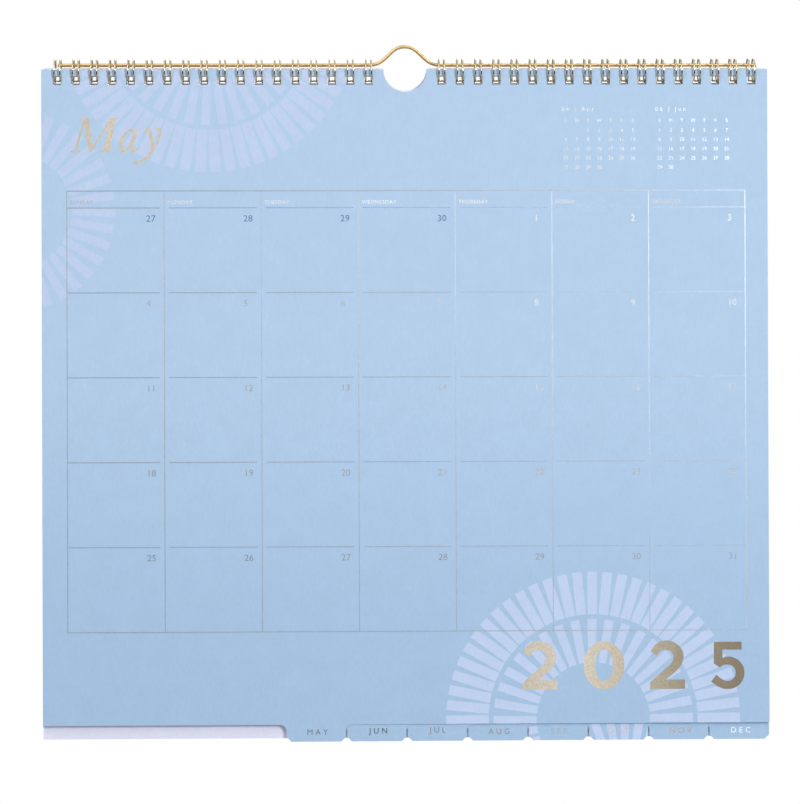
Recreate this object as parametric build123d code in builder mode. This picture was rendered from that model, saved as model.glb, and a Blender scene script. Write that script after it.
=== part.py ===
from build123d import *
import math
import os

# Wall calendar, millimetres. The front faces -Y, +Z is up, +X is to the right.
# The origin is the point under the crown of the hanger wire, where the calendar hangs on its nail.

# Sheets
sheet_width = 336.5        # all sheets, 13 1/4 in
leaf_height = 311.15       # from the top edge to the foot of the tab, 12 1/4 in
leaf_thickness = 0.25      # heavy paper
cover_height = 309.8       # the back cover stops just short of the tabs
cover_thickness = 0.8      # grey board, papered white
months = 12
tab_depth = 7.9            # how far a tab stands below its leaf
tab_gap = 0.7              # slit between one tab and the next
tab_chamfer = 2.1          # cut corners at the foot of a tab
tab_root_radius = 3.2      # hollow corner where a tab leaves its leaf
front_month = 5            # the leaf that is shown, May

# Punched edge
hole_pitch = 8.467         # three holes to the inch
hole_width = 4.0
hole_height = 4.0
hole_drop = 5.1            # from a sheet's top edge to the middle of its holes
middle_pitches = 4         # hole pitches between the two runs of holes
side_margin = 5.0          # least from a sheet's side to the middle of its last hole
thumb_radius = 10.0        # round cut for the nail and the thumb
thumb_drop = 0.4           # its centre below the top edge

# Twin-loop binding wire
loop_outer = 12.2          # over a closed loop
loop_wire = 0.9            # square here, so that its 72 turns stay light
loop_sides = 12            # flats of a turn, a multiple of four so that one lies along its foot
leg_spacing = 2.5          # between the two legs of a loop
closing_gap = 0.3          # between a loop's tip and the spine
tip_end = 0.1              # the tip stops this far behind the loops' axis

# Hanger wire
hanger_wire_size = 1.65
hanger_length = 322.0
hanger_lift = 3.04         # its straight run, above the loops' axis
hanger_back = 2.4          # its straight run, behind the loops' axis
hump_rise = 8.55
hump_half_width = 12.5     # from the crown to the corner where a flank leaves the straight run
hump_crown_radius = 8.5
hump_foot_radius = 10.0

# Where the sheets sit on the loops, from the loops' axis
front_leaf_ahead = 3.5     # middle of the front leaf, ahead of the axis
sheet_top = 0.5            # top edges of the sheets in front of the hanger
turned_top = 1.8           # the turned leaves ride higher, on the back of the loops
turned_behind = 3.5        # front face of the turned leaves, behind the axis
air = 0.3                  # between one sheet and the next, and beside each wire

# Worked out from the sizes above
axis_y = -hanger_back
axis_z = -(hanger_lift + hump_rise - hanger_wire_size / 2)
tab_pitch = sheet_width / months
leaf_body_height = leaf_height - tab_depth
first_hole = middle_pitches / 2 * hole_pitch
holes_each_side = int((sheet_width / 2 - side_margin - first_hole) / hole_pitch) + 1
following_months = range(front_month + 1, months + 1)
turned_months = range(1, front_month)

front_leaf_back = axis_y - front_leaf_ahead + leaf_thickness / 2
following_thickness = len(following_months) * leaf_thickness
following_back = front_leaf_back + air + following_thickness
cover_back = following_back + air + cover_thickness
turned_thickness = len(turned_months) * leaf_thickness
turned_back = axis_y + turned_behind + turned_thickness
leaf_top_z = axis_z + sheet_top
turned_top_z = axis_z + turned_top


def sheet_plane(back):
    """The upright plane of a sheet's back face, looking out of the front."""
    return Plane.XZ.offset(-back)


def hole_places(top):
    """The middles of the punched holes of a sheet whose top edge is at this height."""
    steps = [first_hole + i * hole_pitch for i in range(holes_each_side)]
    return [(side * step, top - hole_drop) for side in (-1, 1) for step in steps]


def tab_sides(month):
    """Where a month's tab starts and ends. The outermost tabs end flush with the sheet."""
    start = -sheet_width / 2 + (month - 1) * tab_pitch
    left = start + (tab_gap / 2 if month > 1 else 0)
    right = start + tab_pitch - (tab_gap / 2 if month < months else 0)
    return left, right


def punched_sheet(back, thickness, top, height):
    """A plain sheet with its thumb cut and its holes, made in the part block that calls this."""
    with BuildSketch(sheet_plane(back)) as face:
        with Locations((0, top - height / 2)):
            Rectangle(sheet_width, height)
        with Locations((0, top - thumb_drop)):
            Circle(thumb_radius, mode=Mode.SUBTRACT)
        with Locations(*hole_places(top)):
            Rectangle(hole_width, hole_height, mode=Mode.SUBTRACT)
    extrude(face.sketch, amount=thickness)


def tab(month, back, top):
    """One leaf's tab with the hollow corners at its root, in that leaf's own layer."""
    left, right = tab_sides(month)
    foot = top - leaf_height
    shoulder = foot + tab_depth
    band = 2 * tab_root_radius
    band_left = max(left - band, -sheet_width / 2)
    band_right = min(right + band, sheet_width / 2)
    with BuildSketch(sheet_plane(back)) as outline:
        with Locations(((band_left + band_right) / 2, shoulder + band / 2)):
            Rectangle(band_right - band_left, band)
        with Locations(((left + right) / 2, foot + tab_depth / 2)):
            Rectangle(right - left, tab_depth)
        chamfer(outline.vertices().group_by(Axis.Y)[0], tab_chamfer)
        roots = outline.vertices().filter_by(lambda v: abs(v.Y - shoulder) < 0.01 and (
            abs(v.X - left) < 0.01 < left - band_left or abs(v.X - right) < 0.01 < band_right - right))
        fillet(roots, tab_root_radius)
    extrude(outline.sketch, amount=leaf_thickness)


def leaf_stack(month_range, back, top):
    """Leaves lying one on another, the earliest month in front, each with its own tab."""
    count = len(month_range)
    punched_sheet(back, count * leaf_thickness, top, leaf_body_height)
    for place, month in enumerate(month_range):
        tab(month, back - (count - 1 - place) * leaf_thickness, top)


# Front leaf, turning on the loops
with BuildPart() as may_leaf:
    leaf_stack(range(front_month, front_month + 1), front_leaf_back, leaf_top_z)

# Leaves still to come, behind the front leaf
with BuildPart() as following_leaves:
    leaf_stack(following_months, following_back, leaf_top_z)

# Board that stiffens the calendar
with BuildPart() as back_cover:
    punched_sheet(cover_back, cover_thickness, leaf_top_z, cover_height)

# Leaves of the past months, turned over the hanger to the back
with BuildPart() as turned_leaves:
    leaf_stack(turned_months, turned_back, turned_top_z)

# One loop of the binding wire: two open turns, joined at the tip
loop_inner = loop_outer - 2 * loop_wire
turn_middle = (loop_outer - loop_wire) / 2
tip_middle = tip_end - loop_wire / 2
spine_middle = tip_end + closing_gap + loop_wire / 2


def turn_plane(x):
    """The plane across the loops at this place along them, with its x axis to the back."""
    return Plane(origin=(x, axis_y, axis_z), x_dir=(0, 1, 0), z_dir=(1, 0, 0))


def open_turn(x):
    """One turn of flat-sided wire about the loops' axis, open where the tip meets the spine."""
    with BuildSketch(turn_plane(x - loop_wire / 2)) as ring:
        RegularPolygon(loop_outer / 2, loop_sides, major_radius=False, rotation=180 / loop_sides)
        RegularPolygon(loop_inner / 2, loop_sides, major_radius=False, rotation=180 / loop_sides,
                       mode=Mode.SUBTRACT)
        with Locations((tip_end + closing_gap / 2, -turn_middle)):
            Rectangle(closing_gap, 2 * loop_wire, mode=Mode.SUBTRACT)
    extrude(ring.sketch, amount=loop_wire)


def cross_wire(x_from, x_to, behind_axis):
    """A straight length of wire along the foot of the loops."""
    with BuildSketch(turn_plane(x_from)) as end:
        with Locations((behind_axis, -turn_middle)):
            Rectangle(loop_wire, loop_wire)
    extrude(end.sketch, amount=x_to - x_from)


def one_loop(with_spine):
    """A loop at the middle of the calendar, with or without the spine to the next loop on its right."""
    with BuildPart(mode=Mode.PRIVATE) as loop:
        open_turn(-leg_spacing / 2)
        open_turn(leg_spacing / 2)
        reach = (leg_spacing + loop_wire) / 2
        cross_wire(-reach, reach, tip_middle)
        if with_spine:
            inner_leg = (leg_spacing - loop_wire) / 2
            cross_wire(inner_leg, hole_pitch - inner_leg, spine_middle)
    return loop.part


spine_loop = one_loop(True)
end_loop = one_loop(False)


def loop_places(side):
    """The middles of one side's loops, from left to right."""
    return sorted(side * (first_hole + i * hole_pitch) for i in range(holes_each_side))


# Twin-loop binding, one wire on each side of the thumb cut
with BuildPart() as binding_wire_left:
    with Locations(*[(x, 0, 0) for x in loop_places(-1)[:-1]]):
        add(spine_loop)
    with Locations((loop_places(-1)[-1], 0, 0)):
        add(end_loop)

with BuildPart() as binding_wire_right:
    with Locations(*[(x, 0, 0) for x in loop_places(1)[:-1]]):
        add(spine_loop)
    with Locations((loop_places(1)[-1], 0, 0)):
        add(end_loop)

# Hanger wire: straight in the loops, with a hump over the thumb cut
# Its flanks touch the crown's arc, whose top stands hump_rise above the straight run
hanger_line_z = axis_z + hanger_lift
crown_centre = hump_rise - hump_crown_radius
flank_angle = (math.asin(hump_crown_radius / math.hypot(hump_half_width, crown_centre))
               + math.atan2(crown_centre, hump_half_width))
hump_apex = hump_half_width * math.tan(flank_angle)

with BuildPart() as hanger_wire:
    with BuildLine(Plane.XZ) as route:
        FilletPolyline(
            (-hanger_length / 2, hanger_line_z),
            (-hump_half_width, hanger_line_z),
            (0, hanger_line_z + hump_apex),
            (hump_half_width, hanger_line_z),
            (hanger_length / 2, hanger_line_z),
            radius=[hump_foot_radius, hump_crown_radius, hump_foot_radius],
        )
    with BuildSketch(Plane(origin=(-hanger_length / 2, 0, hanger_line_z), z_dir=(1, 0, 0))):
        Circle(hanger_wire_size / 2)
    sweep(path=route.wire())

pieces = {
    "may_leaf": may_leaf,
    "following_leaves": following_leaves,
    "back_cover": back_cover,
    "turned_leaves": turned_leaves,
    "binding_wire_left": binding_wire_left,
    "binding_wire_right": binding_wire_right,
    "hanger_wire": hanger_wire,
}

os.makedirs("parts", exist_ok=True)
for name, piece in pieces.items():
    piece.part.label = name
    export_step(piece.part, f"parts/{name}.step")
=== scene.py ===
import bpy
import bmesh
import math
from mathutils import Matrix, Vector


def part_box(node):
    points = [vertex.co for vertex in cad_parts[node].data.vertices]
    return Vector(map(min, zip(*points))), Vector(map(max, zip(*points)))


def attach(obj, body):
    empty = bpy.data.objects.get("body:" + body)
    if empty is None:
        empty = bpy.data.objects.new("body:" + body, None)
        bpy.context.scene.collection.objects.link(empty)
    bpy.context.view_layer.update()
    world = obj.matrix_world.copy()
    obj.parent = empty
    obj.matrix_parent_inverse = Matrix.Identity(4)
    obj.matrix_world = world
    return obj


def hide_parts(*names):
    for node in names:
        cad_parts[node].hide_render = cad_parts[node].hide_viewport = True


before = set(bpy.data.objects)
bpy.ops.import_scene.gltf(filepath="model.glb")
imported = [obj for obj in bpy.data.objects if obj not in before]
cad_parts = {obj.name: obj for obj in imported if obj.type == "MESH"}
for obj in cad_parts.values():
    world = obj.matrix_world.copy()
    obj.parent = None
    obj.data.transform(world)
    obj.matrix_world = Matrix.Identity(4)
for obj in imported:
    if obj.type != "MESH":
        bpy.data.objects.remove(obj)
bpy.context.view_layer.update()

bl_info = {
    "name": "Wall Calendar",
    "version": (1, 0, 0),
    "blender": (4, 5, 0),
    "location": "View3D > Sidebar > Calendar",
    "description": "Dresses a twin-loop wall calendar: printed leaves, foil lettering, binding wire and stage",
    "category": "Object",
}

MM = 0.001
FONT_CAP_HEIGHT = 0.682  # height of a capital in the built-in font at size 1

# Where things stand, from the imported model
LEAF_LOW, LEAF_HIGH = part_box("may_leaf")
STACK_LOW, STACK_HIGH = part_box("following_leaves")
RING_LOW, RING_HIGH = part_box("binding_wire_right")
HALF_WIDTH = LEAF_HIGH.x
RING_Y = (RING_LOW.y + RING_HIGH.y) / 2
RING_Z = (RING_LOW.z + RING_HIGH.z) / 2
RING_RADIUS = (RING_HIGH.z - RING_LOW.z) / 2
FOLLOWING_MONTHS = ("JUN", "JUL", "AUG", "SEP", "OCT", "NOV", "DEC")
LAYER = (STACK_HIGH.y - STACK_LOW.y) / len(FOLLOWING_MONTHS)

# The month's grid: across from the middle of the page, and down from the front leaf's top edge
PAGE_TOP = LEAF_HIGH.z
GRID_LEFT = -156.6 * MM
COLUMN = 44.9 * MM
GRID_TOP = PAGE_TOP - 56.2 * MM
FIRST_ROW = PAGE_TOP - 64.05 * MM
ROW = 39.25 * MM
COLUMNS, ROWS = 7, 5
LINE_GAP = 2.1 * MM  # between an upright line and the end of a level one
NUMBER_INSET = 8.3 * MM  # from a column's right line back to its numbers
NUMBER_DROP = 4.9 * MM  # from a row's line to the middle of its numbers
WORD_INSET = 1.6 * MM  # from a column's left line to its weekday word
WORD_DROP = 5.2 * MM  # from the grid's top line to the middle of the words
WORD_HEIGHT = 1.65 * MM
EARLIER_DAYS, EARLIER_LAST = 4, 30  # days of the month before in the first row, and its last day

# The rest of the front page, across and down from the same places
TITLE_LEFT = -154.9 * MM
TITLE_BASE = PAGE_TOP - 38.15 * MM
TITLE_SCALE = MM / 16.93  # the sketch of the title has 16.93 units to the millimetre
YEAR_BASE = PAGE_TOP - 287.6 * MM
YEAR_SCALE = MM / 11.676
YEAR_PLACES = (53.4 * MM, 91.35 * MM, 112.6 * MM, 141.1 * MM)
SMALL_TOP = PAGE_TOP - 18.5 * MM  # the middle of the small calendars' headings
SMALL_LETTERS, SMALL_DAYS = SMALL_TOP - 5.3 * MM, SMALL_TOP - 9.8 * MM
SMALL_HEADING = 1.9 * MM
SMALL_COLUMN, SMALL_ROW = 5.2 * MM, 4.3 * MM
SMALL_INSET = 2.1 * MM  # from a small calendar's left edge to the middle of its first column
SMALL_WIDTH_MM = 34
SMALL_MONTH = 30  # days in April and in June
TABS = 12
FRONT_TAB = 4.5  # the middle of May's tab, in tabs from the left
LABEL_DROP_MM = 306.9  # from the top edge to the middle of the tabs' names
LABEL_HEIGHT = 2.5 * MM

# The stage, in metres, and the camera as fitted to the photograph, with its turns in radians
FLOOR_RADIUS, FLOOR_Z = 1.1, -0.62
LAMP_AIM = Vector((0, 0, -0.15))
FOCAL_PIXELS, FRAME_PIXELS = 3442.3, 804
CAMERA_PLACE = (-0.0423, -1.6, PAGE_TOP - 0.1582)
CAMERA_PAN, CAMERA_TILT, CAMERA_ROLL = -0.02476, 0.00254, 0.00327

# Where painted shade deepens down the page, on the paper and on the foil
PAGE_SHADE_HEAD, PAGE_SHADE_FOOT = PAGE_TOP - 110 * MM, PAGE_TOP - 300 * MM
FOIL_HEAD, FOIL_FOOT = PAGE_TOP - 90 * MM, PAGE_TOP - 235 * MM

# How the leaves bend
FRONT_Y = LEAF_LOW.y  # the front leaf's front face
FLAT_BAND = 25 * MM  # the band along the binding that stays flat
BOW_CURVE = 1.6  # the power by which the bow grows towards the foot
BEHIND_SHARE, SHARE_STEP = 1.07, 0.03  # a leaf behind bows this many times as far, less this for each place
SHEET_STEP, FOIL_STEP = 14 * MM, 12 * MM  # leaves and foil lines are divided this finely, so that they can bend

# The loops of the binding wire. Angles go round a loop from its foot, up its back and over to its front
LOOP_PITCH = 8.467 * MM
SOURCE_WIRE = 0.9 * MM  # width of the source's square wire
SPINE_ANGLE, LEG_END, TIP_ANGLE = math.radians(8), math.radians(310), math.radians(354)
SPINE_BEND = 0.8 * MM  # radius of the bend from the spine into a leg
LEG_STEPS, TIP_STEPS = 22, 10
LEG_SPREAD = 0.09  # how much further apart the legs stand at the foot than halfway up, as a share
FOOT_REACH = math.radians(42)  # how far from the foot the spine stands out and the tip is pinched in
SPINE_OUT, TIP_IN = 0.62 * MM, -1.1 * MM
RING_PLAY = 0.02 * MM  # keeps the round wire inside the source's box


def linear(code):
    """An sRGB hex colour as linear red, green, blue and an alpha of 1."""
    parts = [int(code[i:i + 2], 16) / 255 for i in (1, 3, 5)]
    return tuple(c / 12.92 if c <= 0.04045 else ((c + 0.055) / 1.055) ** 2.4 for c in parts) + (1.0,)


def colour(name, description, code):
    """A colour property with this default."""
    return bpy.props.FloatVectorProperty(
        name=name, description=description, subtype="COLOR", size=4, min=0, max=1, default=linear(code))


def length(name, description, millimetres):
    """A length property with this default."""
    return bpy.props.FloatProperty(
        name=name, description=description, unit="LENGTH", subtype="DISTANCE", min=0, default=millimetres * MM)


class CalendarSizes(bpy.types.PropertyGroup):
    """Sizes of the dressed calendar that a user may change."""
    leaf_bow: length("Leaf Bow", "How far the foot of the front leaf stands forward", 0.9)
    sheet_thickness: length("Sheet Thickness", "Thickness of a leaf", 0.23)
    foil_thickness: length("Foil Thickness", "How far the stamped foil stands proud of the paper", 0.03)
    line_width: length("Line Width", "Width of the grid's foil lines", 0.36)
    date_height: length("Date Height", "Height of the day numbers", 2.9)
    small_text: length("Small Text", "Height of the small calendars' numbers", 1.6)
    loop_wire: length("Loop Wire", "Diameter of the binding wire", 0.76)
    leg_spacing: length("Leg Spacing", "Distance between the two legs of a loop, halfway up", 2.65)
    hanger_reach: length("Hanger Reach", "How far the hanger wire's right end stands past the source's", 2.9)


class CalendarColours(bpy.types.PropertyGroup):
    """Colours of the dressed calendar that a user may change."""
    page_blue: colour("Page Blue", "Printed ground of the leaves", "#b9d2ea")
    # Painted shade: the page's ground is painted a deeper blue towards the foot, where less light falls
    foot_blue: colour("Foot Blue", "Printed ground near the foot of the leaves", "#aac6e0")
    page_lilac: colour("Page Lilac", "Printed rays on the leaves", "#c6d6ef")
    paper_white: colour("Paper White", "Unprinted back of the leaves", "#fafbff")
    cover_lilac: colour("Cover Lilac", "Lining of the back cover", "#e7e6f4")
    board_grey: colour("Board Grey", "Cut edge of the back cover", "#b3aea6")
    wire_gold: colour("Wire Gold", "Lacquer of the hanger wire", "#dcbb83")
    loop_bronze: colour("Loop Bronze", "Lacquer of the binding wire", "#c9bc9c")
    date_ink: colour("Date Ink", "Ink of the days before the first", "#5f7ea6")
    floor_grey: colour("Floor Grey", "Studio floor", "#e6e6e6")
    room_tone: colour("Room Tone", "Cool light of the room", "#dce8ff")


def sizes():
    """The calendar's sizes, as the panel shows them."""
    return bpy.context.scene.calendar_sizes


def colours():
    """The calendar's colours, as the panel shows them."""
    return bpy.context.scene.calendar_colours


# Nodes and materials

def add_node(tree, kind, links=None, settings=None, values=None):
    """Adds a node, sets its settings and socket values, and links its inputs from other nodes' outputs."""
    node = tree.nodes.new(kind)
    for key, value in (settings or {}).items():
        setattr(node, key, value)
    for key, value in (values or {}).items():
        node.inputs[key].default_value = value
    for key, source in (links or {}).items():
        tree.links.new(source, node.inputs[key])
    return node


def new_material(name, **values):
    """A material with one Principled shader whose constant values are set on its own sockets."""
    material = bpy.data.materials.new(name)
    material.use_nodes = True
    shader = material.node_tree.nodes["Principled BSDF"]
    for key, value in values.items():
        shader.inputs[key.replace("_", " ")].default_value = value
    return material, material.node_tree, shader


def object_coordinates(tree):
    """A place on the object, which a pattern follows."""
    return add_node(tree, "ShaderNodeTexCoord").outputs["Object"]


def split(tree, vector):
    """The X, Y and Z of a vector, as outputs."""
    return add_node(tree, "ShaderNodeSeparateXYZ", {"Vector": vector}).outputs


def feed(tree, socket, value):
    """Links a socket to another node's output, or else sets its value."""
    if isinstance(value, bpy.types.NodeSocket):
        tree.links.new(value, socket)
    elif value is not None:
        socket.default_value = value


def math_node(tree, operation, first, second=None, third=None):
    """A Math node's output. Each value is a number or another node's output."""
    node = add_node(tree, "ShaderNodeMath", settings={"operation": operation})
    for socket, value in zip(node.inputs, (first, second, third)):
        feed(tree, socket, value)
    return node.outputs[0]


def map_range(tree, value, start, end, low=0.0, high=1.0, kind="LINEAR"):
    """An output that runs from low to high while this one runs from start to end."""
    return add_node(tree, "ShaderNodeMapRange", {"Value": value}, {"interpolation_type": kind},
                    {"From Min": start, "From Max": end, "To Min": low, "To Max": high}).outputs[0]


def mix_colour(tree, share, first, second, blend="MIX"):
    """Two colours mixed. Each value is a number, a colour or another node's output."""
    node = add_node(tree, "ShaderNodeMix", settings={"data_type": "RGBA", "blend_type": blend})
    for key, value in (("Factor", share), ("A", first), ("B", second)):
        feed(tree, node.inputs[key], value)
    return node.outputs["Result"]


def noise(tree, place, millimetres, detail=2.0, stretch=None):
    """Noise whose features are about this size, drawn out along an axis where stretch is given."""
    if stretch:
        place = add_node(tree, "ShaderNodeMapping", {"Vector": place}, values={"Scale": stretch}).outputs[0]
    return add_node(tree, "ShaderNodeTexNoise", {"Vector": place},
                    values={"Scale": 1 / (millimetres * MM), "Detail": detail, "Roughness": 0.55}).outputs["Fac"]


def vary(tree, base, place, millimetres, low, high, stretch=None):
    """A colour made a little darker and lighter in clouds of this size. base is a colour or an output."""
    cloud = map_range(tree, noise(tree, place, millimetres, stretch=stretch), 0.3, 0.7, low, high)
    return mix_colour(tree, 1.0, base, cloud, "MULTIPLY")


def bump(tree, shader, height, depth_mm, strength):
    """Shades a surface as if this output raised it by up to this depth."""
    node = add_node(tree, "ShaderNodeBump", {"Height": height},
                    values={"Strength": strength, "Distance": depth_mm * MM})
    tree.links.new(node.outputs[0], shader.inputs["Normal"])


def ring_group():
    """A node group that gives one ring of a sunburst: straight bars that point at a centre."""
    name = "Sunburst Ring"
    if name in bpy.data.node_groups:
        return bpy.data.node_groups[name]
    group = bpy.data.node_groups.new(name, "ShaderNodeTree")
    group.interface.new_socket("Vector", in_out="INPUT", socket_type="NodeSocketVector")
    for key in ("Centre X", "Centre Z", "Inner", "Outer", "Bars", "Inner Width", "Outer Width", "Turn"):
        group.interface.new_socket(key, in_out="INPUT", socket_type="NodeSocketFloat")
    group.interface.new_socket("Mask", in_out="OUTPUT", socket_type="NodeSocketFloat")
    given = add_node(group, "NodeGroupInput").outputs
    parts = split(group, given["Vector"])
    across = math_node(group, "SUBTRACT", parts["X"], given["Centre X"])
    up = math_node(group, "SUBTRACT", parts["Z"], given["Centre Z"])
    squares = math_node(group, "ADD", math_node(group, "MULTIPLY", across, across),
                        math_node(group, "MULTIPLY", up, up))
    radius = math_node(group, "SQRT", squares)
    half_sector = math_node(group, "DIVIDE", math.pi, given["Bars"])
    angle = math_node(group, "ADD", math_node(group, "ARCTAN2", up, across), given["Turn"])
    wrapped = math_node(group, "WRAP", angle, half_sector, math_node(group, "MULTIPLY", half_sector, -1.0))
    along = math_node(group, "MULTIPLY", radius, math_node(group, "COSINE", wrapped))
    aside = math_node(group, "ABSOLUTE", math_node(group, "MULTIPLY", radius, math_node(group, "SINE", wrapped)))
    width = add_node(group, "ShaderNodeMapRange",
                     {"Value": along, "From Min": given["Inner"], "From Max": given["Outer"],
                      "To Min": given["Inner Width"], "To Max": given["Outer Width"]}).outputs[0]
    # The ink's edge wanders by about 0.1 mm and is 0.16 mm soft
    wander = math_node(group, "SUBTRACT", noise(group, given["Vector"], 1.5), 0.5)
    ragged = math_node(group, "MULTIPLY", wander, 0.3 * MM)
    mask = None
    for room in (math_node(group, "SUBTRACT", math_node(group, "MULTIPLY", width, 0.5), aside),
                 math_node(group, "SUBTRACT", given["Outer"], along),
                 math_node(group, "SUBTRACT", along, given["Inner"])):
        edge = map_range(group, math_node(group, "ADD", room, ragged), -0.08 * MM, 0.08 * MM)
        mask = edge if mask is None else math_node(group, "MULTIPLY", mask, edge)
    add_node(group, "NodeGroupOutput", {"Mask": mask})
    return group


# A ring of bars: inner radius, outer radius, number of bars, widths at a bar's ends. All lengths in millimetres.
# A sunburst: its centre, across from the page's middle and up from the front leaf's top edge, and its rings, each
# with its turn in radians.
INNER_RING = (26.2, 46.3, 36, 3.45, 4.3)
OUTER_RING = (48.5, 68.2, 60, 4.5, 4.6)
PAGE_SUNBURSTS = (
    ((86.3, -301.3), ((INNER_RING, -0.011), (OUTER_RING, -0.005))),
    ((-91.0, 20.6), ((INNER_RING, 0.029), (OUTER_RING, -0.045))),
    ((-180.5, -65.4), ((INNER_RING, 0.013),)),
)
NEXT_SUNBURSTS = (((101.0, -341.4), ((INNER_RING, 0.0), (OUTER_RING, 0.0))),)
MONTH_SUNBURSTS = {"SEP": PAGE_SUNBURSTS, "OCT": NEXT_SUNBURSTS}


def sunburst_mask(tree, place, sunbursts):
    """Where the printed rays of these sunbursts lie."""
    mask = None
    for (x, z), rings in sunbursts:
        for (inner, outer, bars, inner_width, outer_width), turn in rings:
            node = add_node(tree, "ShaderNodeGroup", settings={"node_tree": ring_group()})
            tree.links.new(place, node.inputs["Vector"])
            for key, value in (("Centre X", x * MM), ("Centre Z", PAGE_TOP + z * MM), ("Inner", inner * MM),
                               ("Outer", outer * MM), ("Bars", bars), ("Inner Width", inner_width * MM),
                               ("Outer Width", outer_width * MM), ("Turn", turn)):
                node.inputs[key].default_value = value
            ring = node.outputs["Mask"]
            mask = ring if mask is None else math_node(tree, "MAXIMUM", mask, ring)
    return mask


def printed_paper(name, sunbursts):
    """Heavy uncoated text paper, offset printed: matt, with soft clouds in the ink and a felt-side grain."""
    material, tree, shader = new_material(name, Roughness=0.62, Specular_IOR_Level=0.3)
    place = object_coordinates(tree)
    # Painted shade: the blue is painted deeper over the lower half of the page, where less light falls
    lower = map_range(tree, split(tree, place)["Z"], PAGE_SHADE_HEAD, PAGE_SHADE_FOOT, kind="SMOOTHSTEP")
    ink = mix_colour(tree, lower, colours().page_blue[:], colours().foot_blue[:])
    if sunbursts:
        ink = mix_colour(tree, sunburst_mask(tree, place, sunbursts), ink, colours().page_lilac[:])
    # Clouds of 9 mm, and fibre flecks drawn at 1.1 mm, about twice their real size, so that they show
    ink = vary(tree, ink, place, 9, 0.985, 1.015)
    ink = vary(tree, ink, place, 1.1, 0.975, 1.02, stretch=(1, 1, 0.45))
    tree.links.new(ink, shader.inputs["Base Color"])
    bump(tree, shader, noise(tree, place, 0.7, detail=3.0), 0.02, 0.5)
    return material


def blank_paper(name, tint, flecks=0.97):
    """The unprinted side of uncoated paper: a soft white with fine fibres."""
    material, tree, shader = new_material(name, Roughness=0.7, Specular_IOR_Level=0.25)
    place = object_coordinates(tree)
    tone = vary(tree, tint, place, 12, 0.985, 1.01)
    tone = vary(tree, tone, place, 1.1, flecks, 1.015, stretch=(1, 1, 0.5))
    tree.links.new(tone, shader.inputs["Base Color"])
    bump(tree, shader, noise(tree, place, 0.7, detail=3.0), 0.02, 0.5)
    return material


def layered_sheet(name, face, edge, pitch_mm, line_tone):
    """A sheet or a stack of sheets: a fibrous face, and cut edges with darker lines at the layers' real pitch."""
    material, tree, shader = new_material(name, Roughness=0.72, Specular_IOR_Level=0.25)
    coordinates = add_node(tree, "ShaderNodeTexCoord").outputs
    place = coordinates["Object"]
    facing = math_node(tree, "ABSOLUTE", split(tree, coordinates["Normal"])["Y"])
    is_face = math_node(tree, "GREATER_THAN", facing, 0.5)
    depth = math_node(tree, "DIVIDE", split(tree, place)["Y"], pitch_mm * MM)
    line = map_range(tree, math_node(tree, "PINGPONG", depth, 0.5), 0.0, 0.3, line_tone)
    cut = vary(tree, edge, place, 1.5, 0.9, 1.05, stretch=(1, 4, 1))
    lined = mix_colour(tree, 1.0, cut, line, "MULTIPLY")
    tone = vary(tree, vary(tree, face, place, 14, 0.985, 1.01), place, 1.1, 0.97, 1.015, stretch=(1, 1, 0.5))
    tree.links.new(mix_colour(tree, is_face, lined, tone), shader.inputs["Base Color"])
    bump(tree, shader, noise(tree, place, 0.8, detail=3.0), 0.02, 0.5)
    return material


def tone_ramp(tree, share, tones):
    """These tones at even distances along a share of 0 to 1."""
    ramp = add_node(tree, "ShaderNodeValToRGB", {"Fac": share})
    stops = ramp.color_ramp.elements
    while len(stops) < len(tones):
        stops.new(0.5)
    for i in range(len(tones)):
        stops[i].position = i / (len(tones) - 1)
    for stop, code in zip(stops, tones):
        stop.color = linear(code)
    return ramp.outputs["Color"]


def stamped_foil(name, tones, start, end, foot_tones=None, speckle=1.4):
    """Hot-stamped metallic foil on paper, with painted reflection and shade: its tone is painted to shift across
    and down the page as the foil would catch the light, and the paper's grain shows through as speckle. start,
    end and speckle are in millimetres; the grain itself is about 0.5 mm, and it is drawn coarser so that it
    shows."""
    material, tree, shader = new_material(name, Metallic=0.4, Roughness=0.38)
    place = object_coordinates(tree)
    parts = split(tree, place)
    # Painted reflection across the page, and painted shade towards the foot where foot tones are given
    across = map_range(tree, parts["X"], start * MM, end * MM)
    tone = tone_ramp(tree, across, tones)
    if foot_tones:
        down = map_range(tree, parts["Z"], FOIL_HEAD, FOIL_FOOT)
        tone = mix_colour(tree, down, tone, tone_ramp(tree, across, foot_tones))
    tone = vary(tree, tone, place, speckle, 0.86, 1.1)
    tree.links.new(tone, shader.inputs["Base Color"])
    bump(tree, shader, noise(tree, place, 0.6, detail=2.0), 0.015, 0.5)
    return material


def lacquered_wire(name, tint, metallic, roughness):
    """Drawn steel wire under a tinted metallic lacquer: a soft sheen that is uneven and has small dull spots."""
    material, tree, shader = new_material(name, Metallic=metallic)
    place = object_coordinates(tree)
    # The lacquer is thicker and thinner over about 6 mm, with a grain drawn at 0.6 mm so that it shows
    tone = vary(tree, tint, place, 6, 0.9, 1.06)
    tone = vary(tree, tone, place, 0.6, 0.93, 1.04)
    tree.links.new(tone, shader.inputs["Base Color"])
    dull = map_range(tree, noise(tree, place, 3.0), 0.3, 0.75, roughness - 0.05, roughness + 0.12)
    tree.links.new(dull, shader.inputs["Roughness"])
    bump(tree, shader, noise(tree, place, 0.4, detail=2.0), 0.01, 0.35)
    return material


# Meshes and pieces

def new_object(name, data):
    """An object with this data, in the scene."""
    made = bpy.data.objects.new(name, data)
    bpy.context.scene.collection.objects.link(made)
    return made


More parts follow.
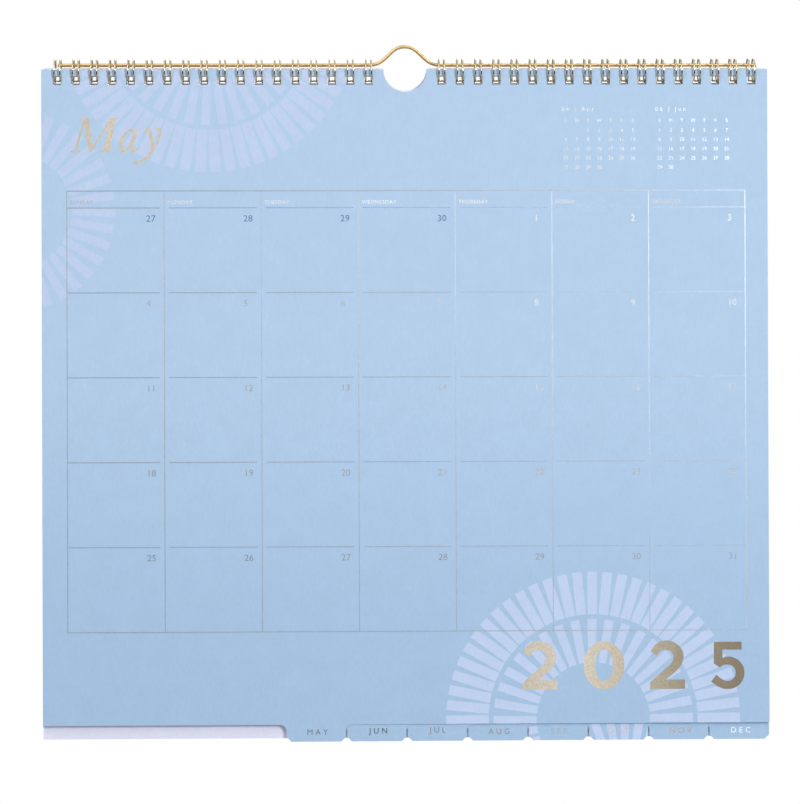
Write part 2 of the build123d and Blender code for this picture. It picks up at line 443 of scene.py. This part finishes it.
def make_piece(name, bm, materials, body, smooth=False, stands_for=()):
    """A finished piece at the origin, riding on a body, with these materials; the CAD parts that it stands for
    are hidden.
    """
    mesh = bpy.data.meshes.new(name)
    for face in bm.faces:
        face.smooth = smooth
    bm.to_mesh(mesh)
    bm.free()
    for material in materials:
        mesh.materials.append(material)
    piece = new_object(name, mesh)
    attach(piece, body)
    if stands_for:
        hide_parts(*stands_for)
    return piece


def bow_at(x, z, share):
    """How far forward of its flat place a leaf stands: none near the binding, most at the foot."""
    free_top = LEAF_HIGH.z - FLAT_BAND
    down = min(max((free_top - z) / (free_top - LEAF_LOW.z), 0), 1)
    # Both sides stand a little further forward than the middle, and the right side most
    side = 1 + 0.08 * (x / HALF_WIDTH) ** 2 + 0.04 * x / HALF_WIDTH
    return sizes().leaf_bow * share * side * down ** BOW_CURVE


def bow(bm, share):
    """Bends a flat shape as its leaf is bent."""
    for vert in bm.verts:
        vert.co.y -= bow_at(vert.co.x, vert.co.z, share)


def leaf_share(place):
    """How much of the front leaf's bow the leaf at this place behind it has. The front leaf's place is 0."""
    return BEHIND_SHARE - SHARE_STEP * place if place else 1.0


def sheet_outline(node, depth):
    """The flat outline of a CAD sheet at this depth, with its holes and thumb cut, filled with faces."""
    bm = bmesh.new()
    bm.from_mesh(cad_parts[node].data)
    bmesh.ops.remove_doubles(bm, verts=bm.verts, dist=0.001 * MM)
    everything = bm.verts[:] + bm.edges[:] + bm.faces[:]
    cut = bmesh.ops.bisect_plane(bm, geom=everything, dist=0.0001 * MM, plane_co=(0, depth, 0),
                                 plane_no=(0, 1, 0), clear_inner=True, clear_outer=True)
    rim = [g for g in cut["geom_cut"] if isinstance(g, bmesh.types.BMEdge)]
    bmesh.ops.triangle_fill(bm, use_beauty=True, use_dissolve=False, edges=rim, normal=(0, -1, 0))
    return bm


def cut_grid(bm, pitch):
    """Divides a flat sheet along even lines, so that it can bend."""
    for axis, low, high in ((0, -HALF_WIDTH, HALF_WIDTH), (2, LEAF_LOW.z, LEAF_HIGH.z)):
        count = round((high - low) / pitch)
        for i in range(1, count):
            point, normal = Vector((0, 0, 0)), Vector((0, 0, 0))
            point[axis], normal[axis] = low + (high - low) * i / count, 1
            bmesh.ops.bisect_plane(bm, geom=bm.verts[:] + bm.edges[:] + bm.faces[:],
                                   dist=0.001 * MM, plane_co=point, plane_no=normal)


def thicken(bm, front, thickness):
    """Gives a flat sheet its thickness, with its front face at this depth, and marks front, back and edges."""
    for vert in bm.verts:
        vert.co.y = front + thickness
    made = bmesh.ops.extrude_face_region(bm, geom=bm.faces[:])
    bmesh.ops.translate(bm, verts=[g for g in made["geom"] if isinstance(g, bmesh.types.BMVert)],
                        vec=(0, -thickness, 0))
    bmesh.ops.recalc_face_normals(bm, faces=bm.faces[:])
    for face in bm.faces:
        face.normal_update()
        face.material_index = 0 if face.normal.y < -0.5 else 1 if face.normal.y > 0.5 else 2


def leaf(name, node, place, front, sunbursts, body, stands_for):
    """One bowed leaf: printed front, blank back, pale cut edge."""
    bm = sheet_outline(node, front + LAYER / 2)
    cut_grid(bm, SHEET_STEP)
    thicken(bm, front, sizes().sheet_thickness)
    bow(bm, leaf_share(place))
    back = bpy.data.materials.get("Blank leaf paper") or blank_paper("Blank leaf paper", colours().paper_white[:])
    edge = bpy.data.materials.get("Cut paper edge") or blank_paper("Cut paper edge", linear("#dfe6f0"), 0.9)
    front_name = f"Offset printed paper, {len(sunbursts)} sunbursts"
    front_material = bpy.data.materials.get(front_name) or printed_paper(front_name, sunbursts)
    return make_piece(name, bm, [front_material, back, edge], body, stands_for=stands_for)


def following_front_y(place):
    """The front face of the leaf at this place in the stack behind the front leaf, counted from 1."""
    return STACK_LOW.y + (place - 1) * LAYER


# Lettering

def mesh_of(curve):
    """The mesh of a curve or a line of type, which is itself removed."""
    holder = new_object(curve.name, curve)
    mesh = bpy.data.meshes.new_from_object(holder.evaluated_get(bpy.context.evaluated_depsgraph_get()))
    bpy.data.objects.remove(holder)
    bpy.data.curves.remove(curve)
    return mesh


def add_upright(bm, curve, x, z, size):
    """Adds a flat curve, scaled by size and turned upright in the XZ plane, with its origin at this place."""
    mesh = mesh_of(curve)
    mesh.transform(Matrix.Translation((x, 0, z)) @ Matrix.Rotation(math.pi / 2, 4, "X") @ Matrix.Scale(size, 4))
    bm.from_mesh(mesh)
    bpy.data.meshes.remove(mesh)


def add_letters(bm, words, x, z, height, align="CENTER", spacing=1.0):
    """Adds a line of type that faces the front. z is the middle of its capitals."""
    curve = bpy.data.curves.new("line_of_type", "FONT")
    curve.body, curve.align_x, curve.space_character = words, align, spacing
    curve.size, curve.resolution_u = 1.0, 3
    curve.extrude = sizes().foil_thickness * FONT_CAP_HEIGHT / height
    add_upright(bm, curve, x, z - height / 2, height / FONT_CAP_HEIGHT)


def add_drawn(bm, outlines, x, z, size):
    """Adds drawn letters that face the front, with the sketch's origin at x and z. Each outline is a list of
    points: across, up, and 1 where it has a corner."""
    curve = bpy.data.curves.new("drawn_letters", "CURVE")
    curve.dimensions, curve.fill_mode, curve.resolution_u = "2D", "BOTH", 6
    curve.extrude = sizes().foil_thickness / size
    for outline in outlines:
        spline = curve.splines.new("BEZIER")
        spline.bezier_points.add(len(outline) - 1)
        spline.use_cyclic_u = True
        for point, (across, up, *corner) in zip(spline.bezier_points, outline):
            point.co = (across, up, 0)
            kind = "VECTOR" if corner else "AUTO"
            point.handle_left_type = point.handle_right_type = kind
    add_upright(bm, curve, x, z, size)


def lay_on(bm, front, share):
    """Lays print on a leaf, following its bow."""
    bmesh.ops.remove_doubles(bm, verts=bm.verts, dist=0.0001 * MM)
    bmesh.ops.recalc_face_normals(bm, faces=bm.faces[:])
    bmesh.ops.translate(bm, verts=bm.verts[:], vec=(0, front, 0))
    bow(bm, share)


def add_bar(bm, x_from, x_to, z_from, z_to):
    """Adds a thin plate of foil in the XZ plane, divided along its length so that it can follow the leaf."""
    made = bmesh.ops.create_cube(bm, size=1)["verts"]
    bmesh.ops.scale(bm, verts=made, vec=(x_to - x_from, 2 * sizes().foil_thickness, z_to - z_from))
    bmesh.ops.translate(bm, verts=made, vec=((x_from + x_to) / 2, 0, (z_from + z_to) / 2))
    edges = {edge for vert in made for edge in vert.link_edges}
    long_edges = [edge for edge in edges if edge.calc_length() > FOIL_STEP]
    if long_edges:
        cuts = int(long_edges[0].calc_length() / FOIL_STEP)
        bmesh.ops.subdivide_edges(bm, edges=long_edges, cuts=cuts, use_grid_fill=True)


# Outlines of the drawn letters, read off a sketch with its origin at the left of the baseline
TITLE_M = [
    (83, 267, 1), (143, 267, 1), (177, 43, 1), (313, 267, 1), (378, 267, 1), (376, 260, 1), (353, 254, 1),
    (310, 14, 1), (328, 6, 1), (328, 0, 1), (223, 0, 1), (223, 6, 1), (260, 14, 1), (306, 222, 1),
    (163, 0, 1), (148, 0, 1), (107, 226, 1), (53, 14, 1), (76, 6, 1), (76, 0, 1), (0, 0, 1), (3, 8, 1),
    (33, 16, 1), (101, 242, 1), (96, 254, 1), (83, 260, 1),
]
TITLE_A = [
    [(526, 177, 1), (508, 95), (497, 36), (502, 18), (515, 22), (538, 44, 1), (543, 37, 1), (523, 10), (500, -4),
     (480, 0), (471, 20), (476, 50, 1), (456, 20), (432, -3), (406, -6), (386, 14), (381, 47), (391, 97),
     (416, 144), (449, 171), (483, 179), (500, 176), (508, 182, 1)],
    [(488, 160), (463, 160), (438, 137), (418, 92), (408, 47), (412, 20), (428, 20), (453, 44), (476, 87),
     (490, 137)],
]
TITLE_Y = [
    [(570, 154, 1), (588, 174), (613, 180), (630, 170), (638, 142), (648, 82), (656, 44, 1), (678, 87),
     (690, 132), (688, 157), (673, 170), (673, 182), (690, 189), (706, 179), (710, 154), (700, 107), (673, 47),
     (633, -16), (588, -63), (548, -90), (513, -96), (491, -88), (491, -76), (510, -70), (538, -70),
     (568, -53), (603, -18), (631, 14, 1), (623, 82), (614, 132), (606, 160), (596, 162), (580, 147, 1)],
]
DIGIT_2 = [
    (6, 204, 1), (38, 246), (88, 262), (142, 247), (176, 209), (183, 170), (170, 129), (136, 91), (86, 51, 1),
    (192, 51, 1), (192, 0, 1), (1, 0, 1), (1, 36, 1), (90, 114), (120, 144), (128, 172), (118, 200), (88, 212),
    (60, 206), (38, 179, 1),
]
DIGIT_5 = [
    (16, 254, 1), (166, 254, 1), (166, 211, 1), (62, 211, 1), (62, 166, 1), (90, 174), (128, 166), (164, 138),
    (181, 92), (170, 44), (141, 12), (94, -2), (44, 8), (0, 38, 1), (29, 76, 1), (58, 52), (91, 42), (120, 54),
    (133, 84), (121, 118), (91, 130), (64, 126), (49, 114, 1), (15, 136, 1),
]
DIGIT_0_MIDDLE, DIGIT_0_RIM, DIGIT_0_EYE = (0, 129.5), (109.5, 131.0), (47.5, 85.0)


def ellipse(middle, radii):
    """A drawn ellipse, as smooth points."""
    points = 8
    turns = [math.tau * i / points for i in range(points)]
    return [(middle[0] + radii[0] * math.cos(t), middle[1] + radii[1] * math.sin(t)) for t in turns]


def row_middle(row):
    """The middle of the numbers in this row of the month."""
    return FIRST_ROW - row * ROW - NUMBER_DROP


class CALENDAR_OT_front_leaf(bpy.types.Operator):
    """Make the front leaf, with its printed sunbursts, holes, thumb cut and tab"""
    bl_idname = "calendar.front_leaf"
    bl_label = "Front Leaf"

    def execute(self, context):
        leaf("front_leaf_paper", "may_leaf", 0, FRONT_Y, PAGE_SUNBURSTS, "front_leaf", ("may_leaf",))
        return {"FINISHED"}


class CALENDAR_OT_month_grid(bpy.types.Operator):
    """Stamp the month's grid lines in foil"""
    bl_idname = "calendar.month_grid"
    bl_label = "Month Grid"

    def execute(self, context):
        half = sizes().line_width / 2
        right, bottom = GRID_LEFT + COLUMNS * COLUMN, FIRST_ROW - ROWS * ROW
        upright, level = bmesh.new(), bmesh.new()
        for column in range(COLUMNS + 1):
            x = GRID_LEFT + column * COLUMN
            add_bar(upright, x - half, x + half, bottom, GRID_TOP)
        for z in (GRID_TOP, bottom):
            add_bar(level, GRID_LEFT, right, z - half, z + half)
        for row in range(ROWS):
            z = FIRST_ROW - row * ROW
            for column in range(COLUMNS):
                start = GRID_LEFT + column * COLUMN + (LINE_GAP if column else 0)
                end = GRID_LEFT + (column + 1) * COLUMN - (LINE_GAP if column < COLUMNS - 1 else 0)
                add_bar(level, start, end, z - half, z + half)
        # Painted reflection and shade: tones from the left to the right, at the head of the page and at its foot,
        # lighter where the foil catches the light and darker towards the foot
        for name, bm, tones, foot_tones in (
            ("grid_lines_upright", upright,
             ("#abb5bf", "#bfc9d3", "#c7d1db", "#cdd7e1"),
             ("#9fa9b3", "#a4aeb8", "#abb5bf", "#b2bcc6")),
            ("grid_lines_level", level,
             ("#8a98a6", "#98a6b4", "#a2b0be", "#afbdcb"),
             ("#99a5b1", "#9da9b5", "#a2aeba", "#acb8c4")),
        ):
            lay_on(bm, FRONT_Y, 1)
            foil = stamped_foil("Stamped silver foil, " + name, tones, -157, 158, foot_tones)
            make_piece(name, bm, [foil], "front_leaf")
        return {"FINISHED"}


class CALENDAR_OT_day_numbers(bpy.types.Operator):
    """Set the day numbers and the weekday words"""
    bl_idname = "calendar.day_numbers"
    bl_label = "Day Numbers"

    def execute(self, context):
        foil, ink, words = bmesh.new(), bmesh.new(), bmesh.new()
        height = sizes().date_height
        for place in range(COLUMNS * ROWS):
            row, column = divmod(place, COLUMNS)
            day = place - EARLIER_DAYS + 1
            x = GRID_LEFT + (column + 1) * COLUMN - NUMBER_INSET
            target, number = (foil, day) if day > 0 else (ink, day + EARLIER_LAST)
            add_letters(target, str(number), x, row_middle(row), height, "LEFT", 1.05)
        names = ("SUNDAY", "MONDAY", "TUESDAY", "WEDNESDAY", "THURSDAY", "FRIDAY", "SATURDAY")
        for column, word in enumerate(names):
            add_letters(words, word, GRID_LEFT + column * COLUMN + WORD_INSET, GRID_TOP - WORD_DROP,
                        WORD_HEIGHT, "LEFT", 1.15)
        # Painted reflection and shade: the numbers' and weekday words' tones shift across the page as the foil
        # catches the light, and the numbers darken towards the foot
        tones = ("#b8b5b2", "#bbb8b5", "#e2e0df", "#d2d0ce")
        foot_tones = ("#8a919b", "#9198a1", "#959ba3", "#989ea6")
        for name, bm, material in (
            ("day_numbers", foil, stamped_foil("Stamped foil, day numbers", tones, -118, 152, foot_tones)),
            ("weekday_words", words, stamped_foil(
                "Stamped foil, weekday words", ("#a8a2a4", "#f0f0f0", "#eeeeee", "#f0f0f0", "#d3d1d1", "#bbb8ba"),
                -157, 130)),
            ("earlier_day_numbers", ink, self.ink_material()),
        ):
            lay_on(bm, FRONT_Y, 1)
            make_piece(name, bm, [material], "front_leaf")
        return {"FINISHED"}

    def ink_material(self):
        """Offset ink on uncoated paper: matt, a little uneven where the fibres take it up."""
        material, tree, shader = new_material("Offset ink, dates", Roughness=0.6, Specular_IOR_Level=0.3)
        place = object_coordinates(tree)
        tree.links.new(vary(tree, colours().date_ink[:], place, 0.8, 0.9, 1.08), shader.inputs["Base Color"])
        return material


class CALENDAR_OT_title(bpy.types.Operator):
    """Stamp the month's name and the year in foil"""
    bl_idname = "calendar.title"
    bl_label = "Title and Year"

    def execute(self, context):
        title = bmesh.new()
        add_drawn(title, [TITLE_M] + TITLE_A + TITLE_Y, TITLE_LEFT, TITLE_BASE, TITLE_SCALE)
        lay_on(title, FRONT_Y, 1)
        # Painted reflection: the title's foil tone shifts across it as it catches the light
        make_piece("month_title", title,
                   [stamped_foil("Stamped gold foil, title", ("#cdbfa9", "#d5c8b3", "#d0c1aa"), -155, -113)],
                   "front_leaf")
        year = bmesh.new()
        digit_0 = [ellipse(DIGIT_0_MIDDLE, radii) for radii in (DIGIT_0_RIM, DIGIT_0_EYE)]
        for outlines, x in zip(([DIGIT_2], digit_0, [DIGIT_2], [DIGIT_5]), YEAR_PLACES):
            add_drawn(year, outlines, x, YEAR_BASE, YEAR_SCALE)
        lay_on(year, FRONT_Y, 1)
        # Painted reflection: the year's foil is painted lighter at the left and darker at the right, as it
        # catches the light
        tones = ("#cdc2ae", "#ddd2c0", "#c1b59f", "#998d78", "#837563")
        make_piece("year_numbers", year, [stamped_foil("Stamped gold foil, year", tones, 53, 157, speckle=0.8)],
                   "front_leaf")
        return {"FINISHED"}


class CALENDAR_OT_small_calendars(bpy.types.Operator):
    """Stamp the small calendars of the months before and after"""
    bl_idname = "calendar.small_calendars"
    bl_label = "Small Calendars"

    def execute(self, context):
        # Each one's left edge in millimetres, the column of its first day, and its foil's tones from left to
        # right, a painted reflection
        for name, heading, left, first_day, tones in (
            ("small_calendar_april", "04 | Apr", 72.4, 2, ("#cfcdca", "#d5d5d5")),
            ("small_calendar_june", "06 | Jun", 116.0, 0, ("#ced5dd", "#e2e7ee")),
        ):
            bm = bmesh.new()
            first_column, height = left * MM + SMALL_INSET, sizes().small_text
            add_letters(bm, heading, left * MM, SMALL_TOP, SMALL_HEADING, "LEFT", 1.6)
            for column, letter in enumerate("SMTWTFS"):
                add_letters(bm, letter, first_column + column * SMALL_COLUMN, SMALL_LETTERS, height)
            for day in range(SMALL_MONTH):
                row, column = divmod(day + first_day, COLUMNS)
                add_letters(bm, str(day + 1), first_column + column * SMALL_COLUMN,
                            SMALL_DAYS - row * SMALL_ROW, height)
            lay_on(bm, FRONT_Y, 1)
            make_piece(name, bm, [stamped_foil("Stamped foil, " + name, tones, left, left + SMALL_WIDTH_MM)],
                       "front_leaf")
        return {"FINISHED"}


class CALENDAR_OT_following_leaves(bpy.types.Operator):
    """Make the leaves behind the front one, each with its own tab"""
    bl_idname = "calendar.following_leaves"
    bl_label = "Following Leaves"

    def execute(self, context):
        for place, month in enumerate(FOLLOWING_MONTHS, 1):
            leaf("leaf_" + month.lower(), "following_leaves", place, following_front_y(place),
                 MONTH_SUNBURSTS.get(month, ()), "hung_calendar", ("following_leaves",) if place == 1 else ())
        return {"FINISHED"}


class CALENDAR_OT_tab_labels(bpy.types.Operator):
    """Stamp the months' names on the tabs"""
    bl_idname = "calendar.tab_labels"
    bl_label = "Tab Labels"

    def execute(self, context):
        # Each name's tone, a painted reflection of how its foil catches the light, and how far it stands right of
        # its tab's middle and above the others, in millimetres
        labels = (("#7d7b7d", 0.5, 0.2), ("#5a564f", 0.7, 0.6), ("#86857f", 0.1, 0.8), ("#9a9184", 0.6, 0),
                  ("#b3b4bd", 0.3, 0), ("#c9c4c4", -0.2, 0), ("#bcab90", 0.8, 0), ("#ffffff", 0.8, 0))
        tab = 2 * HALF_WIDTH / TABS
        for place, (month, (tone, aside, rise)) in enumerate(zip(("MAY",) + FOLLOWING_MONTHS, labels)):
            bm = bmesh.new()
            x = -HALF_WIDTH + (place + FRONT_TAB) * tab + aside * MM
            add_letters(bm, month, x, PAGE_TOP + (rise - LABEL_DROP_MM) * MM, LABEL_HEIGHT, "CENTER", 1.6)
            lay_on(bm, following_front_y(place) if place else FRONT_Y, leaf_share(place))
            material = stamped_foil("Stamped foil, tab " + month.lower(), (tone, tone), -170, 170)
            make_piece("tab_label_" + month.lower(), bm, [material], "hung_calendar" if place else "front_leaf")
        return {"FINISHED"}


class CALENDAR_OT_binding(bpy.types.Operator):
    """Bend the two lengths of twin-loop binding wire"""
    bl_idname = "calendar.binding"
    bl_label = "Binding Wire"

    def execute(self, context):
        bronze = lacquered_wire("Bronze-lacquered steel wire", colours().loop_bronze[:], 1.0, 0.09)
        for node in ("binding_wire_left", "binding_wire_right"):
            low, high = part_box(node)
            reach = (sizes().leg_spacing + SOURCE_WIRE) / 2
            count = round((high.x - low.x - 2 * reach) / LOOP_PITCH) + 1
            middles = [low.x + reach + i * LOOP_PITCH for i in range(count)]
            piece = self.bent_wire(node + "_round", middles)
            piece.data.materials.append(bronze)
            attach(piece, "hung_calendar")
            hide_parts(node)
        return {"FINISHED"}

    def bent_wire(self, name, middles):
        """One length of wire: a spine along the foot, and at each middle a hairpin bent round into a loop."""
        size = sizes().loop_wire
        leg_start = SPINE_ANGLE + SPINE_BEND / RING_RADIUS
        leg = [leg_start + (LEG_END - leg_start) * i / LEG_STEPS for i in range(LEG_STEPS + 1)]
        tip = [math.pi * i / TIP_STEPS for i in range(1, TIP_STEPS)]
        route = []
        for middle in middles:
            # From the spine round a bend into the first leg, over the tip, and down the second leg to the spine
            first = [(middle - self.half_leg(SPINE_ANGLE) - SPINE_BEND * (1 - math.sin(t)),
                      SPINE_ANGLE + SPINE_BEND / RING_RADIUS * (1 - math.cos(t)))
                     for t in (0, math.pi / 8, math.pi / 4, math.pi * 3 / 8)]
            last = [(2 * middle - x, angle) for x, angle in reversed(first)]
            over = [(middle - self.half_leg(LEG_END) * math.cos(t),
                     LEG_END + (TIP_ANGLE - LEG_END) * math.sin(t)) for t in tip]
            route += (first + [(middle - self.half_leg(a), a) for a in leg] + over
                      + [(middle + self.half_leg(a), a) for a in reversed(leg)] + last)
        curve = bpy.data.curves.new(name, "CURVE")
        curve.dimensions, curve.bevel_depth, curve.bevel_resolution = "3D", size / 2, 2
        curve.use_fill_caps = True
        spline = curve.splines.new("POLY")
        spline.points.add(len(route) - 1)
        for point, (x, angle) in zip(spline.points, route):
            radius = self.radius_at(angle) - size / 2
            point.co = (x, RING_Y + radius * math.sin(angle), RING_Z - radius * math.cos(angle), 1)
        mesh = mesh_of(curve)
        mesh.name = name
        for polygon in mesh.polygons:
            polygon.use_smooth = True
        return new_object(name, mesh)

    def half_leg(self, angle):
        """Half the distance between a loop's legs at this angle from its foot. They spread towards the foot."""
        return sizes().leg_spacing / 2 * (1 + LEG_SPREAD * math.cos(angle))

    def radius_at(self, angle):
        """Outer radius of a loop at this angle from its foot. The tip is pinched in, and the spine stands out."""
        from_foot = angle if angle < math.pi else angle - math.tau
        near_foot = max(0.0, 1 - abs(from_foot) / FOOT_REACH)
        eased = near_foot * near_foot * (3 - 2 * near_foot)
        return RING_RADIUS - RING_PLAY + (SPINE_OUT if from_foot > 0 else TIP_IN) * eased


class CALENDAR_OT_hanger(bpy.types.Operator):
    """Make the hanger wire, whose right end reaches a little past the last loop"""
    bl_idname = "calendar.hanger"
    bl_label = "Hanger Wire"

    def execute(self, context):
        bm = bmesh.new()
        bm.from_mesh(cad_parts["hanger_wire"].data)
        bmesh.ops.remove_doubles(bm, verts=bm.verts, dist=0.001 * MM)
        right_end = max(vert.co.x for vert in bm.verts)
        end_verts = [vert for vert in bm.verts if vert.co.x > right_end - 0.1 * MM]
        bmesh.ops.translate(bm, verts=end_verts, vec=(sizes().hanger_reach, 0, 0))
        bmesh.ops.recalc_face_normals(bm, faces=bm.faces[:])
        for edge in bm.edges:
            edge.smooth = edge.calc_face_angle(0.0) < math.radians(40)
        finish = lacquered_wire("Gold-lacquered steel wire", colours().wire_gold[:], 0.65, 0.3)
        make_piece("hanger_wire_long", bm, [finish], "hung_calendar", smooth=True,
                   stands_for=("hanger_wire",))
        return {"FINISHED"}


class CALENDAR_OT_finishes(bpy.types.Operator):
    """Give the back cover and the turned leaves their finishes"""
    bl_idname = "calendar.finishes"
    bl_label = "Cover and Turned Leaves"

    def execute(self, context):
        palette = colours()
        finishes = {
            "back_cover": layered_sheet("White-lined greyboard", palette.cover_lilac[:], palette.board_grey[:],
                                        0.2, 0.86),
            "turned_leaves": layered_sheet("Uncoated paper stack", palette.paper_white[:], palette.paper_white[:],
                                           LAYER / MM, 0.6),
        }
        for node, material in finishes.items():
            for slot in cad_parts[node].material_slots:
                slot.material = material
        return {"FINISHED"}


class CALENDAR_OT_stage(bpy.types.Operator):
    """Set the floor, the lamps, the world and the camera"""
    bl_idname = "calendar.stage"
    bl_label = "Stage"

    def execute(self, context):
        scene = context.scene
        scene.view_settings.view_transform = "Standard"
        self.floor()
        self.world(scene)
        # Each lamp's place and size in metres and its power in watts
        for name, place, size, power in (
            ("key_lamp", (0.95, -2.2, 0.45), 0.5, 31.5),
            ("fill_lamp", (-0.6, -1.1, 0.8), 0.8, 6),
            ("back_lamp", (0.5, 1.7, 1.1), 0.8, 16),
        ):
            light = bpy.data.lights.new(name, "AREA")
            light.size, light.energy = size, power
            lamp = new_object(name, light)
            lamp.location = place
            lamp.rotation_euler = (LAMP_AIM - Vector(place)).to_track_quat("-Z", "Y").to_euler()
        self.camera(scene)
        return {"FINISHED"}

    def floor(self):
        """A round studio floor, well below the calendar."""
        bm = bmesh.new()
        bmesh.ops.create_circle(bm, cap_ends=True, segments=64, radius=FLOOR_RADIUS)
        bmesh.ops.translate(bm, verts=bm.verts[:], vec=(0, 0, FLOOR_Z))
        mesh = bpy.data.meshes.new("studio_floor")
        bm.to_mesh(mesh)
        bm.free()
        # Painted studio floor: matt, pale, faintly uneven from the roller
        material, tree, shader = new_material("Matt painted floor", Roughness=0.8)
        place = object_coordinates(tree)
        tree.links.new(vary(tree, colours().floor_grey[:], place, 40, 0.985, 1.01), shader.inputs["Base Color"])
        mesh.materials.append(material)
        floor = new_object("studio_floor", mesh)

    def world(self, scene):
        """White to the camera, a soft cool room to the paper, and in reflections white above and dark below."""
        world = bpy.data.worlds.new("Soft studio")
        world.use_nodes = True
        scene.world = world
        tree = world.node_tree
        tree.nodes.clear()
        direction = add_node(tree, "ShaderNodeTexCoord").outputs["Generated"]
        up = split(tree, direction)["Z"]
        room = map_range(tree, up, -1.0, 1.0, 0.1, 0.36)
        mirrored = map_range(tree, up, -0.3, 0.35, 0.01, 1.0, "SMOOTHSTEP")
        rays = add_node(tree, "ShaderNodeLightPath").outputs
        mirrors = math_node(tree, "MAXIMUM", rays["Is Glossy Ray"], rays["Is Transmission Ray"])
        lit = math_node(tree, "ADD", math_node(tree, "MULTIPLY", mirrored, mirrors),
                        math_node(tree, "MULTIPLY", room, math_node(tree, "SUBTRACT", 1.0, mirrors)))
        strength = math_node(tree, "MAXIMUM", lit, rays["Is Camera Ray"])
        seen = math_node(tree, "MAXIMUM", mirrors, rays["Is Camera Ray"])
        tone = mix_colour(tree, seen, colours().room_tone[:], linear("#ffffff"))
        background = add_node(tree, "ShaderNodeBackground", {"Color": tone, "Strength": strength})
        add_node(tree, "ShaderNodeOutputWorld", {"Surface": background.outputs[0]})

    def camera(self, scene):
        """The photograph's view, from its fitted place, turns and focal length in pixels."""
        data = bpy.data.cameras.new("camera")
        data.lens = FOCAL_PIXELS / FRAME_PIXELS * data.sensor_width
        data.clip_start, data.clip_end = 0.05, 20
        camera = new_object("camera", data)
        turn = (Matrix.Rotation(CAMERA_PAN, 4, "Z") @ Matrix.Rotation(CAMERA_TILT, 4, "X")
                @ Matrix.Rotation(CAMERA_ROLL, 4, "Y") @ Matrix.Rotation(math.pi / 2, 4, "X"))
        camera.matrix_world = Matrix.Translation(CAMERA_PLACE) @ turn
        scene.camera = camera


OPERATORS = (
    CALENDAR_OT_front_leaf, CALENDAR_OT_month_grid, CALENDAR_OT_day_numbers, CALENDAR_OT_title,
    CALENDAR_OT_small_calendars, CALENDAR_OT_following_leaves, CALENDAR_OT_tab_labels, CALENDAR_OT_binding,
    CALENDAR_OT_hanger, CALENDAR_OT_finishes, CALENDAR_OT_stage,
)


class CALENDAR_PT_sidebar(bpy.types.Panel):
    """Lists the calendar's sizes, colours and operators"""
    bl_idname = "CALENDAR_PT_sidebar"
    bl_label = "Wall Calendar"
    bl_space_type = "VIEW_3D"
    bl_region_type = "UI"
    bl_category = "Calendar"

    def draw(self, context):
        for group in (sizes(), colours()):
            box = self.layout.box()
            for key in group.bl_rna.properties.keys():
                if key not in ("rna_type", "name"):
                    box.prop(group, key)
        for operator in OPERATORS:
            self.layout.operator(operator.bl_idname)


CLASSES = (CalendarSizes, CalendarColours) + OPERATORS + (CALENDAR_PT_sidebar,)


def register():
    for cls in CLASSES:
        bpy.utils.register_class(cls)
    bpy.types.Scene.calendar_sizes = bpy.props.PointerProperty(type=CalendarSizes)
    bpy.types.Scene.calendar_colours = bpy.props.PointerProperty(type=CalendarColours)


def unregister():
    del bpy.types.Scene.calendar_colours
    del bpy.types.Scene.calendar_sizes
    for cls in reversed(CLASSES):
        bpy.utils.unregister_class(cls)


def main():
    register()
    bpy.ops.calendar.front_leaf()
    bpy.ops.calendar.month_grid()
    bpy.ops.calendar.day_numbers()
    bpy.ops.calendar.title()
    bpy.ops.calendar.small_calendars()
    bpy.ops.calendar.following_leaves()
    bpy.ops.calendar.tab_labels()
    bpy.ops.calendar.binding()
    bpy.ops.calendar.hanger()
    bpy.ops.calendar.finishes()
    bpy.ops.calendar.stage()


if __name__ == "__main__":
    main()
